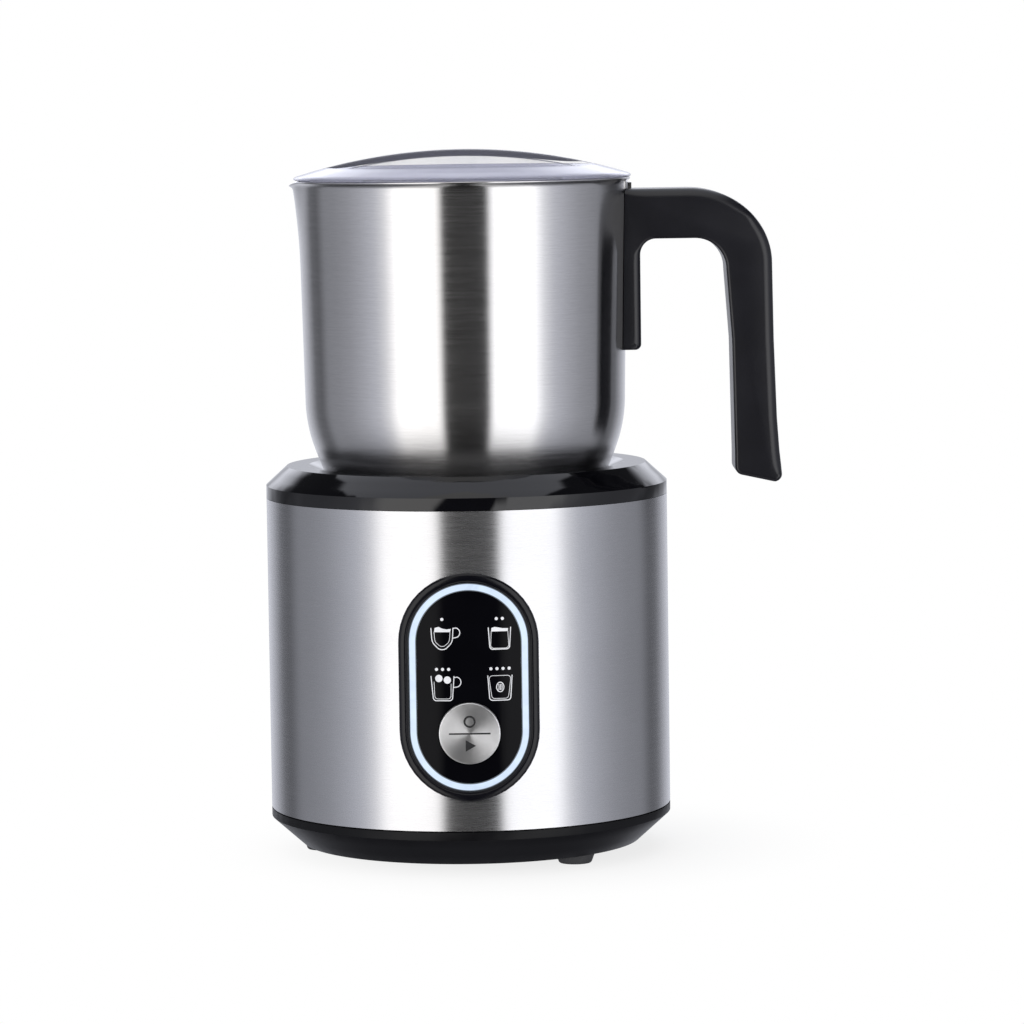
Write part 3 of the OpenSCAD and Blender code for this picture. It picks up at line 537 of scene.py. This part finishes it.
def jug():
    """The jug's wall in sheet steel: flat floor, cone, shoulder, flared rim with a rolled edge, and spout."""
    low, high = limits("jug_vessel")
    floor, rim = low.z, high.z
    sheet = 0.9
    shoulder = arc(4.0, SHOULDER_Z, JUG_R_LOW - 4, -17, 0, 14)
    wall = [(52.2, 167), (52.6, 187), (52.85, 198), (53.1, 208), (JUG_R_HIGH, rim - 3.9)]
    outer = [(0, floor), (40.5, floor), (41.8, floor + 0.25), (42.9, floor + 0.9), (43.9, floor + 2)]
    outer += [(48.6, floor + 14.3)] + shoulder + wall
    lip = [(53.23, rim - 2.3), (53.35, rim - 1.6), (53.7, rim - 1.05), (54.1, rim - 0.8)]
    lip += [(53.85 + 0.43 * math.cos(a), rim - 0.45 + 0.45 * math.sin(a))
            for a in (math.radians(d) for d in range(-20, 181, 20))]
    inner = [(radius - sheet, level) for radius, level in reversed(outer[4:])]
    inner += [(42.2, floor + 1.9), (41, floor + 1.1), (40, floor + sheet), (0, floor + sheet)]
    outline = dense(outer + lip + [(52.6, rim - 2.4)] + inner, 5, False)

    def spout(radius, turn, level):
        """Draws the wall out and dips the rim over a narrow sector opposite the handle."""
        away = abs(math.degrees(turn) - 180)
        begins, half_turn = 192, 21
        if away > half_turn or level < begins:
            return radius, level
        spread = 0.5 + 0.5 * math.cos(math.pi * away / half_turn)
        rise = ((level - begins) / 26) ** 1.7
        return radius + 1.75 * spread ** 1.5 * rise, level - 1.3 * spread ** 2 * max(0, (level - 212) / 6)

    points, faces = turned(outline, 288, spout)
    new_piece("jug", points, faces, "jug_vessel", 50)


def lid():
    """The clear lid in one shell: dome, two finger wells either side of a grip bar, rounded rim and skirt."""
    low, high = limits("lid_dome")
    rim, under = high.x, limits("jug_vessel")[1].z
    sheet, floor = 2.0, 217.5
    well_top, well_foot = 44.0, 34.0
    skirt_out, skirt_in = 49.4, 47.6
    centre = high.z - DOME_R

    def crown(radius, drop=0.0):
        """The level of the dome, or of its underside where drop is the sheet's thickness."""
        return centre + math.sqrt((DOME_R - drop) ** 2 - radius * radius)

    def slope(radius):
        """The level of a well's slanting wall."""
        return floor + (crown(well_top) - floor) * (radius - well_foot) / (well_top - well_foot)

    def skin(sine, drop):
        """Places from the rim to the middle along one ray, on the top or, with a drop, the underside."""
        bar = (BAR_HALF - drop) / max(sine, 1e-6)
        mouth, foot = well_top - drop, well_foot - drop
        first, soft = (skirt_in, 0.1) if drop else (rim - 0.9, 0.45)
        places = [(radius, crown(radius, drop)) for radius in steps_between(first, mouth + soft, 7)]
        if bar >= mouth:
            places += [places[-1]] * 11
        else:
            places += [(max(mouth + soft * a, bar), crown(mouth, drop) - soft * b)
                       for a, b in ((0.5, 0.04), (0.12, 0.16), (-0.2, 0.42))]
            for radius in steps_between(mouth - 0.6, foot, 4):
                radius = max(radius, bar)
                wall = min(slope(radius + drop) - drop, crown(radius, drop) - 0.1)
                places.append((radius, wall if radius > foot else floor - drop))
            places += [(max(radius, bar), floor - drop)
                       for radius in steps_between(foot, min(bar, foot), 3)[1:]]
        edge = min(bar, mouth + soft)
        inset, fall = (min(0.5 / max(sine, 0.12), edge / 2), 0.5) if bar < mouth else (0, 0)
        for a, b in ((0, 1), (0.08, 0.62), (0.3, 0.3), (0.6, 0.1), (1, 0)):
            places.append((edge - inset * a, crown(edge - inset * a, drop) - fall * b))
        middle = edge - inset
        return places + [(radius, crown(radius, drop)) for radius in steps_between(middle, 0, 6)[1:6]]

    turns = {3.0 * k for k in range(31)} | {1.5 * k for k in range(14)}
    for radius in (well_top, well_foot, well_top - sheet, well_foot - sheet):
        for bar in (BAR_HALF, BAR_HALF - sheet):
            corner = math.degrees(math.asin(bar / radius))
            turns |= {round(corner, 4), round(corner + 0.12, 4)}
    turns = sorted(turns)
    turns += [180 - t for t in reversed(turns[:-1])]
    turns += [t + 180 for t in turns[1:-1]]
    edge = [(rim - 0.25, crown(rim) - 0.1), (rim, crown(rim) - 0.42), (rim - 0.1, crown(rim) - 0.75),
            (rim - 0.5, under + 0.12), (skirt_out, under + 0.12), (skirt_out, low.z + 0.3),
            (skirt_out - 0.3, low.z), (skirt_in + 0.3, low.z), (skirt_in, low.z + 0.3)]
    points = []
    for turn in turns:
        angle = math.radians(turn)
        sine = abs(math.sin(angle))
        ray = [(0, crown(0))] + skin(sine, 0)[::-1] + edge + skin(sine, sheet) + [(0, crown(0, sheet))]
        points += [(far * math.cos(angle), far * math.sin(angle), level) for far, level in ray]
    faces = rows_to_faces(len(turns), len(ray), around=False, loop=True)
    new_piece("lid", points, faces, "lid_dome", 32)


def whisk_spring():
    """The coiled spring that runs round the whisk's disc."""
    low, high = limits("whisk_coil")
    ring = (high.x - low.x) / 2 - 2
    level = (low.z + high.z) / 2
    turns, steps, sides, wire = 46, 12, 6, 0.42
    coil = (high.z - low.z) / 2 - wire
    total = turns * steps
    points = []
    for k in range(total):
        turn, wind = 2 * math.pi * k / total, 2 * math.pi * k / steps
        out = Vector((math.cos(turn), math.sin(turn), 0))
        spine = out * (ring + coil * math.cos(wind)) + Vector((0, 0, level + coil * math.sin(wind)))
        along = Vector((-math.sin(turn), math.cos(turn), 0)) * ring / turns
        along += out * -coil * math.sin(wind) + Vector((0, 0, coil * math.cos(wind)))
        across = along.cross(out).normalized()
        third = across.cross(along).normalized()
        for j in range(sides):
            a = 2 * math.pi * j / sides
            points.append(spine + wire * (math.cos(a) * across + math.sin(a) * third))
    new_piece("whisk_spring", points, rows_to_faces(total, sides, loop=True), "whisk_coil", 60)


def sensor_spring():
    """The spring under the temperature sensor, built as one fixed coil; the real spring shortens as the jug's
    base pushes the sensor down.
    """
    low, high = limits("sensor_spring")
    x, y = (low.x + high.x) / 2, (low.y + high.y) / 2
    wire, turns, steps, sides = 0.3, 5, 28, 8
    coil = (high.x - low.x) / 2 - wire - 0.02
    bottom, top = low.z + wire + 0.02, high.z - wire - 0.02
    total = turns * steps + 1
    points = []
    for k in range(total):
        wind, share = 2 * math.pi * k / steps, k / (total - 1)
        out = Vector((math.cos(wind), math.sin(wind), 0))
        spine = Vector((x, y, bottom + (top - bottom) * share)) + out * coil
        along = Vector((-math.sin(wind) * coil, math.cos(wind) * coil, (top - bottom) / turns / 2 / math.pi))
        third = along.cross(out).normalized()
        for j in range(sides):
            a = 2 * math.pi * j / sides
            points.append(spine + wire * (math.cos(a) * out + math.sin(a) * third))
    faces = rows_to_faces(total, sides)
    faces += [tuple(range(sides)), tuple(reversed(range(len(points) - sides, len(points))))]
    new_piece("sensor_spring_wire", points, faces, "sensor_spring", 60,
              between=("base", "sensor", at(x, y, low.z), at(x, y, high.z)))


# ---------- control panel ----------

face_low, face_high = limits("panel_face")
PANEL_Z = (face_low.z + face_high.z) / 2
FACE_R = -face_low.y


def stadium(width, span, steps=24):
    """An upright outline with round ends, anticlockwise, about the panel's middle."""
    half = width / 2
    top = arc(0, span / 2, half, 0, 180, steps)
    low = arc(0, -span / 2, half, 180, 360, steps)
    return top + low


def on_panel(u, v, radius):
    """A point of the panel's curved front, u across and v up from its middle."""
    return (u, -math.sqrt(radius * radius - u * u), PANEL_Z + v)


def bezel():
    """The black surround: rounded outer edge, shallow groove, and a thin raised bead along the light ring."""
    low, high = limits("panel_bezel")
    width = high.x - low.x
    span = high.z - low.z - width
    front = -low.y
    seat, plug = 65.03, 60.1
    outline = [(0, seat), (0, front - 0.8), (0.12, front - 0.42), (0.4, front - 0.16), (0.8, front - 0.04),
               (1.5, front), (2.15, front - 0.06), (2.35, front - 0.2), (2.45, front - 0.1),
               (2.6, front + 0.02), (2.78, front + 0.06), (2.95, front + 0.01), (3.08, front - 0.14),
               (3.1, front - 0.4), (3.1, plug), (1.7, plug), (1.7, seat)]
    points = [on_panel(u, v, radius) for inset, radius in outline
              for u, v in stadium(width - 2 * inset, span)]
    faces = rows_to_faces(len(outline), len(points) // len(outline), loop=True)
    new_piece("bezel", points, faces, "panel_bezel", 50, surround_black)


def stroke(points, width, closed=False):
    """Left and right sides of a line of a given width."""
    count = len(points)
    sides = []
    for k in range(count):
        here = Vector(points[k])
        before = Vector(points[k - 1]) if closed or k > 0 else None
        after = Vector(points[(k + 1) % count]) if closed or k < count - 1 else None
        one = (here - before).normalized() if before else (after - here).normalized()
        two = (after - here).normalized() if after else one
        mid = Vector((-(one.y + two.y), one.x + two.x)).normalized()
        scale = width / 2 / max(0.5, mid.dot(Vector((-one.y, one.x))))
        sides.append((here + mid * scale, here - mid * scale))
    return sides


def icons():
    """Printed symbols: two cups and two glasses with what is in them, numbered by one to four dots."""
    inner, outer = FACE_R + 0.02, -limits("panel_icons")[0].y
    points, faces = [], []

    def line(path, width=0.28, closed=False):
        """A raised line along a path on the panel."""
        path = dense(path, 0.6, closed)
        start, count = len(points), len(path)
        for left, right in stroke(path, width, closed):
            points.extend([on_panel(*left, inner), on_panel(*left, outer),
                           on_panel(*right, outer), on_panel(*right, inner)])
        for k in range(count if closed else count - 1):
            a, b = start + 4 * k, start + 4 * ((k + 1) % count)
            for j in range(4):
                faces.append((a + j, a + (j + 1) % 4, b + (j + 1) % 4, b + j))
        if not closed:
            faces.append((start, start + 1, start + 2, start + 3))
            last = start + 4 * (count - 1)
            faces.append((last + 3, last + 2, last + 1, last))

    def blob(path):
        """A raised flat shape inside a closed path on the panel."""
        path = dense(path, 0.6)
        start, count = len(points), len(path)
        points.extend(on_panel(u, v, inner) for u, v in path)
        points.extend(on_panel(u, v, outer) for u, v in path)
        faces.append(tuple(reversed(range(start, start + count))))
        faces.append(tuple(range(start + count, start + 2 * count)))
        for k in range(count):
            after = (k + 1) % count
            faces.append((start + k, start + after, start + count + after, start + count + k))

    def shifted(path, u, v):
        """A path moved to its place on the panel."""
        return [(u + x, v + y) for x, y in path]

    left, right = -8.2, 9.75
    upper, lower = 75.8 - PANEL_Z, 60.1 - PANEL_Z
    round_cup = [(-3.45, 3.4)] + arc(0, 0.3, 3.25, 183, 222, 4) + arc(0, -1.0, 2.4, 240, 300, 4)
    round_cup += arc(0, 0.3, 3.25, 318, 357, 4) + [(3.45, 3.4)]
    line(shifted(round_cup, left, upper))
    round_fill = [(-2.5, 2.1)] + arc(0, 0.2, 2.35, 183, 222, 4) + arc(0, -0.6, 1.8, 245, 295, 4)
    round_fill += arc(0, 0.2, 2.35, 318, 357, 4) + [(2.5, 2.1)]
    line(shifted(round_fill, left, upper), 0.16)
    blob(shifted([(-2.5, 2.1), (2.5, 2.1), (2.8, 3.1), (1.4, 2.95), (0.1, 3.2), (-1.1, 3.75), (-2.3, 3.4)],
                 left, upper))
    loop = arc(4.0, 1.9, 1.55, 75, -75, 12)
    line(shifted([(3.3, 3.3)] + loop + [(3.2, 0.2)], left, upper))

    glass = rounded([(-3.5, 3.4, 0), (-2.95, -3.4, 0.9), (2.95, -3.4, 0.9), (3.5, 3.4, 0)])
    line(shifted(glass, right, upper))
    fill = rounded([(-2.6, 2.1, 0), (-2.1, -2.5, 0.3), (2.1, -2.5, 0.3), (2.6, 2.1, 0)], 3)
    line(shifted(fill, right, upper), 0.16)
    blob(shifted([(-2.6, 2.1), (2.6, 2.1), (2.7, 3.0), (0.9, 3.05), (-0.3, 3.3), (-1.5, 3.5), (-2.5, 3.2)],
                 right, upper))

    mug = rounded([(-3.65, 4.0, 0), (-2.65, -3.45, 0.7), (2.65, -3.45, 0.7), (3.55, 4.0, 0)])
    line(shifted(mug, left, lower))
    haze_and_painted_sheen = rounded([(-2.7, 2.2, 0), (-1.8, -2.5, 0.3), (1.8, -2.5, 0.3), (2.6, 1.6, 0)], 3)
    line(shifted(haze_and_painted_sheen, left, lower), 0.16)
    blob(shifted(arc(-1.2, 3.25, 1.15, 0, 345, 23), left, lower))
    blob(shifted(arc(1.45, 2.75, 1.15, 0, 345, 23), left, lower))
    loop = arc(4.1, 2.1, 1.6, 75, -75, 12)
    line(shifted([(3.4, 3.5)] + loop + [(3.2, 0.4)], left, lower))

    tall = rounded([(-3.85, 4.0, 0), (-3.0, -3.55, 0.7), (2.9, -3.55, 0.7), (3.75, 4.0, 0)])
    line(shifted(tall, right, lower))
    fill = rounded([(-2.75, 3.2, 0.3), (-2.0, -2.6, 0.3), (1.9, -2.6, 0.3), (2.65, 3.2, 0.3)], 3)
    line(shifted(fill, right, lower), 0.16, True)
    bean = [(1.15 * x, 1.5 * y) for x, y in arc(0, 0, 1, 0, 345, 23)]
    line(shifted(bean, right, lower + 0.3), 0.26, True)
    for u in (-0.45, 0.05, 0.5):
        line(shifted([(u, -0.95), (u + 0.1, 0), (u, 0.95)], right, lower + 0.3), 0.24)

    for count, u, v in ((1, left, upper), (2, right, upper), (3, left, lower), (4, right, lower)):
        for k in range(count):
            blob(shifted(arc((k - (count - 1) / 2) * 1.9, 6.1, 0.5, 0, 340, 17), u, v))
    new_piece("icons", points, faces, "panel_icons", 30)


def button():
    """The steel button: very slightly crowned, with a rounded edge."""
    low, high = limits("button_cap")
    radius, front, back = (high.x - low.x) / 2, low.y, high.y
    middle = (low.z + high.z) / 2
    outline = [(0, back), (radius, back)]
    outline += [(radius - 0.3 + 0.3 * math.cos(a), front + 0.35 - 0.3 * math.sin(a))
                for a in (math.radians(d) for d in range(0, 91, 15))]
    outline += [(radius * share, front + 0.05 * share ** 2) for share in (0.75, 0.5, 0.25, 0)]
    segments = 96
    points = []
    for k in range(segments):
        turn = 2 * math.pi * k / segments
        points += [(far * math.cos(turn), y, middle + far * math.sin(turn)) for far, y in outline]
    new_piece("button", points, rows_to_faces(segments, len(outline), loop=True), "button_cap", 30)


handle()
jug()
lid()
whisk_spring()
sensor_spring()
bezel()
icons()
button()
soften("seat_ring", 0.5)
soften("bottom_cover", 0.9)
soften("feet", 0.3)


# ---------- stage ----------

def studio():
    """Soft studio light: a dark gap in front, broad soft boxes beside it and a box overhead."""
    world = bpy.data.worlds.new("studio")
    bpy.context.scene.world = world
    world.use_nodes = True
    tree = Tree(world.node_tree)
    x, y, z = tree.split(tree.add("ShaderNodeTexCoord").outputs["Generated"])
    gap_turn = 1.2
    turn = tree.math("ARCTAN2", x, tree.math("MULTIPLY", y, -1.0))
    turn = tree.math("SUBTRACT", turn, math.radians(gap_turn))
    share = tree.math("DIVIDE", tree.math("ABSOLUTE", turn), math.pi)
    ramp = tree.add("ShaderNodeValToRGB")
    tree.put(ramp.inputs[0], share)
    # Brightness of the walls by how far round from the front they are, in degrees
    stops = ((0, 0.01), (15, 0.012), (19, 0.6), (26, 0.85), (38, 1.0), (48, 0.75), (58, 0.4), (66, 0.28),
             (78, 0.21), (90, 0.16), (104, 0.13), (116, 0.12), (126, 0.055), (136, 0.065), (150, 0.19),
             (164, 0.26), (180, 0.27))
    points = ramp.color_ramp.elements
    while len(points) < len(stops):
        points.new(0.5)
    for point, (degrees, level) in zip(points, stops):
        point.position = degrees / 180
        point.color = (level, level, level, 1)
    walls = tree.math("MINIMUM", tree.math("MULTIPLY", ramp.outputs[0], 2.9), 2.0)
    lean = tree.math("DIVIDE", x, tree.math("MAXIMUM", z, 0.001))
    box = tree.math("MULTIPLY", tree.span(lean, -0.70, -0.65), tree.span(lean, 0.53, 0.48))
    ceiling = tree.span(box, 0, 1, 0.05, 1.15, "LINEAR")
    above = tree.span(z, 0.38, 0.5)
    walls = tree.math("MULTIPLY", walls, tree.span(z, -0.6, -0.35, 0.32, 1.0))
    lift = tree.math("MULTIPLY", tree.span(share, 0.78, 0.88), tree.span(z, 0.08, 0.24, 0.0, 1.2))
    walls = tree.math("ADD", walls, lift)
    level = tree.math("ADD", tree.math("MULTIPLY", walls, tree.math("SUBTRACT", 1.0, above)),
                      tree.math("MULTIPLY", ceiling, above))
    front = tree.mix(tree.span(x, -0.3, 0.3), rgb(1, 0.985, 0.97), rgb(0.99, 0.99, 1))
    tint = tree.mix(tree.span(share, 0.25, 0.4), front, rgb(0.92, 0.94, 1.03))
    shown = tree.add("ShaderNodeLightPath").outputs["Is Camera Ray"]
    studio_light = tree.add("ShaderNodeBackground")
    tree.put(studio_light.inputs["Color"], tint)
    tree.put(studio_light.inputs["Strength"], level)
    backdrop = tree.add("ShaderNodeBackground")
    backdrop.inputs["Color"].default_value = rgb(1, 1, 1)
    chosen = tree.add("ShaderNodeMixShader")
    tree.put(chosen.inputs[0], shown)
    tree.put(chosen.inputs[1], studio_light.outputs[0])
    tree.put(chosen.inputs[2], backdrop.outputs[0])
    output = tree.add("ShaderNodeOutputWorld")
    tree.put(output.inputs["Surface"], chosen.outputs[0])
    bpy.context.scene.view_settings.view_transform = "Standard"


def lay_floor():
    """A pale floor that is white by itself, so that only a faint shadow of the frother shows on it."""
    radius = 0.9
    sides = 96
    mesh = bpy.data.meshes.new("floor")
    rim = [(radius * math.cos(2 * math.pi * k / sides), radius * math.sin(2 * math.pi * k / sides), 0)
           for k in range(sides)]
    mesh.from_pydata(rim, [], [list(range(sides))])
    floor = bpy.data.objects.new("floor", mesh)
    bpy.context.scene.collection.objects.link(floor)
    material, tree, surface = shader("floor")
    surface.inputs["Base Color"].default_value = rgb(1, 1, 1)
    surface.inputs["Roughness"].default_value = 0.9
    glow = tree.add("ShaderNodeEmission")
    clear = tree.add("ShaderNodeBsdfTransparent")
    soft = tree.add("ShaderNodeMixShader")
    reach = tree.add("ShaderNodeVectorMath", operation="LENGTH")
    tree.put(reach.inputs[0], tree.here())
    tree.put(soft.inputs[0], tree.span(reach.outputs["Value"], 0.03, 0.11, 0.8, 1.0))
    tree.put(soft.inputs[1], surface.outputs[0])
    tree.put(soft.inputs[2], glow.outputs[0])
    one_sided = tree.add("ShaderNodeMixShader")
    geometry = tree.add("ShaderNodeNewGeometry")
    tree.put(one_sided.inputs[0], geometry.outputs["Backfacing"])
    tree.put(one_sided.inputs[1], soft.outputs[0])
    tree.put(one_sided.inputs[2], clear.outputs[0])
    output = tree.add("ShaderNodeOutputMaterial")
    tree.put(output.inputs["Surface"], one_sided.outputs[0])
    for other in [n for n in tree.tree.nodes if n.type == "OUTPUT_MATERIAL" and n != output]:
        tree.tree.nodes.remove(other)
    mesh.materials.append(material)
    floor.visible_glossy = False
    floor.visible_shadow = False


def set_camera():
    """A long lens 1.5 m in front, looking slightly down, with the photo's small roll and turn."""
    down, rolled, turned = 5.07, -0.8, -0.4
    camera = bpy.data.cameras.new("camera")
    camera.lens = 165.2
    camera.sensor_width = 36
    holder = bpy.data.objects.new("camera", camera)
    bpy.context.scene.collection.objects.link(holder)
    pitch = Matrix.Rotation(math.radians(90 - down), 4, "X")
    roll = Matrix.Rotation(math.radians(rolled), 4, "Z")
    turn = Matrix.Rotation(math.radians(turned), 4, "Z")
    holder.matrix_world = Matrix.Translation(at(4, -1522, 244.5)) @ turn @ pitch @ roll
    bpy.context.scene.camera = holder


studio()
lay_floor()
set_camera()
